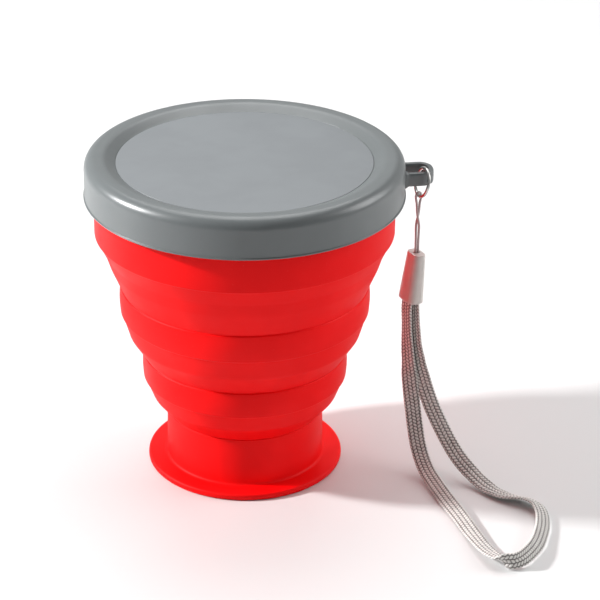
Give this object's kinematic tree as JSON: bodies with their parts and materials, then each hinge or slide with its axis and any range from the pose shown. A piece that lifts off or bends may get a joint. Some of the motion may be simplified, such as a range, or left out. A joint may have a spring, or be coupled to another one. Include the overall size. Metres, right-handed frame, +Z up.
{
  "type": "collapsible travel cup",
  "caption": "Soft folding cup whose accordion wall collapses into its rim, with a press-on lid, lanyard eyelet, jump ring and woven wrist strap.",
  "frame": {"origin": "centre of the foot's flat underside, on the cup's axis", "axes": "+Z up along the cup's axis, +X towards the lanyard eyelet on the lid"},
  "size_m": [0.1231, 0.1163, 0.0934],
  "materials": {
    "red_silicone": "matte, slightly translucent",
    "grey_lid": "matte",
    "grey_panel": "satin",
    "collar_plastic": "moulded",
    "ring_steel": "polished wire",
    "thin_cord": "braided nylon",
    "webbing": "flat woven nylon",
    "sleeve_plastic": "translucent moulded"
  },
  "bodies": {
    "rim": {"rim_band": "red_silicone", "rim_collar": "collar_plastic", "upper_fold_web": "red_silicone"},
    "upper": {"upper_band": "red_silicone", "middle_fold_web": "red_silicone"},
    "lower": {"lower_band": "red_silicone", "lower_fold_web": "red_silicone"},
    "base": {"base_foot": "red_silicone"},
    "lid": {"lid_cover": "grey_lid", "lid_panel": "grey_panel", "lid_eyelet": "grey_lid"},
    "ring": {"jump_ring": "ring_steel"},
    "strap": {"cord_loop": "thin_cord", "strap_sleeve": "sleeve_plastic", "strap_clip": "ring_steel", "wrist_strap": "webbing"}
  },
  "joints": [
    {"name": "upper_fold", "type": "slide", "parent": "rim", "child": "upper", "axis": [0, 0, 1], "range_m": [0, 0.0249], "deforming": ["upper_fold_web"]},
    {"name": "middle_fold", "type": "slide", "parent": "upper", "child": "lower", "axis": [0, 0, 1], "range_m": [0, 0.025], "deforming": ["middle_fold_web"]},
    {"name": "lower_fold", "type": "slide", "parent": "lower", "child": "base", "axis": [0, 0, 1], "range_m": [0, 0.0208], "deforming": ["lower_fold_web"]},
    {"name": "lid_lift", "type": "slide", "parent": "rim", "child": "lid", "axis": [0, 0, 1], "range_m": [0, 0.05]},
    {"name": "ring_swing", "type": "hinge", "parent": "lid", "child": "ring", "pos_m": [0.0489, -0.0036, 0.08515], "axis": [1, 0, 0], "range_deg": [-80, 0]},
    {"name": "strap_swing", "type": "hinge", "parent": "ring", "child": "strap", "pos_m": [0.04795, -0.0038, 0.08027], "axis": [0.2079, -0.9781, 0], "range_deg": [0, 60]}
  ]
}
